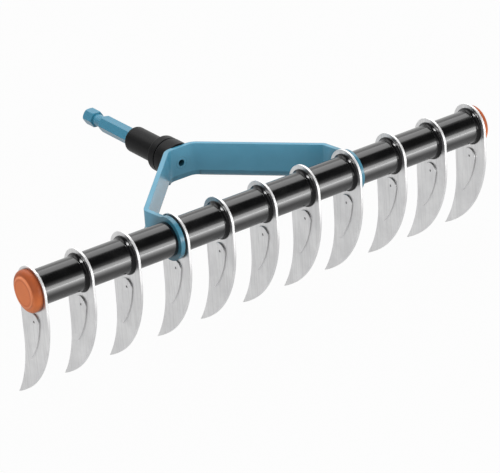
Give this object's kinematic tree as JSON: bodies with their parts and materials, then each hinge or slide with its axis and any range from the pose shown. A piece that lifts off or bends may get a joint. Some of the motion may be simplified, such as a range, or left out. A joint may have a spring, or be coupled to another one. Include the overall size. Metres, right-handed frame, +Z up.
{
  "type": "thatch rake head",
  "caption": "Dethatching rake head: crescent steel blades on a keyed axle with black distance sleeves and orange end caps, carried by a teal folded yoke with a hexagonal tang.",
  "frame": {"origin": "on the handle axis, at the shoulder of the handle seat that the handle's socket comes up against", "axes": "+X along the axle, +Y along the handle axis away from the blades, +Z up, away from the blade tips"},
  "size_m": [0.3522, 0.2081, 0.0941],
  "materials": {
    "blade_steel": "satin",
    "axle_steel": "plain",
    "sleeve_black": "glossy",
    "seat_black": "satin",
    "cap_orange": "satin",
    "teal_paint": "satin"
  },
  "bodies": {
    "root": {"axle": "axle_steel", "end_washer_left": "axle_steel", "end_washer_right": "axle_steel", "end_cap_left": "cap_orange", "end_cap_right": "cap_orange", "blade_01": "blade_steel", "blade_02": "blade_steel", "blade_03": "blade_steel", "blade_04": "blade_steel", "blade_05": "blade_steel", "blade_06": "blade_steel", "blade_07": "blade_steel", "blade_08": "blade_steel", "blade_09": "blade_steel", "blade_10": "blade_steel", "blade_11": "blade_steel", "sleeve_01": "sleeve_black", "sleeve_02": "sleeve_black", "sleeve_03": "sleeve_black", "sleeve_04": "sleeve_black", "sleeve_05": "sleeve_black", "sleeve_06": "sleeve_black", "sleeve_07": "sleeve_black", "sleeve_08": "sleeve_black", "sleeve_09": "sleeve_black", "sleeve_10": "sleeve_black", "collar_01": "sleeve_black", "collar_02": "sleeve_black", "collar_04": "sleeve_black", "collar_05": "sleeve_black", "collar_06": "sleeve_black", "collar_07": "sleeve_black", "collar_08": "sleeve_black", "collar_09": "sleeve_black", "collar_10": "sleeve_black", "eye_washer": "sleeve_black", "yoke": "teal_paint", "tang": "teal_paint", "tang_collar": "seat_black", "handle_seat": "seat_black"}
  },
  "joints": []
}
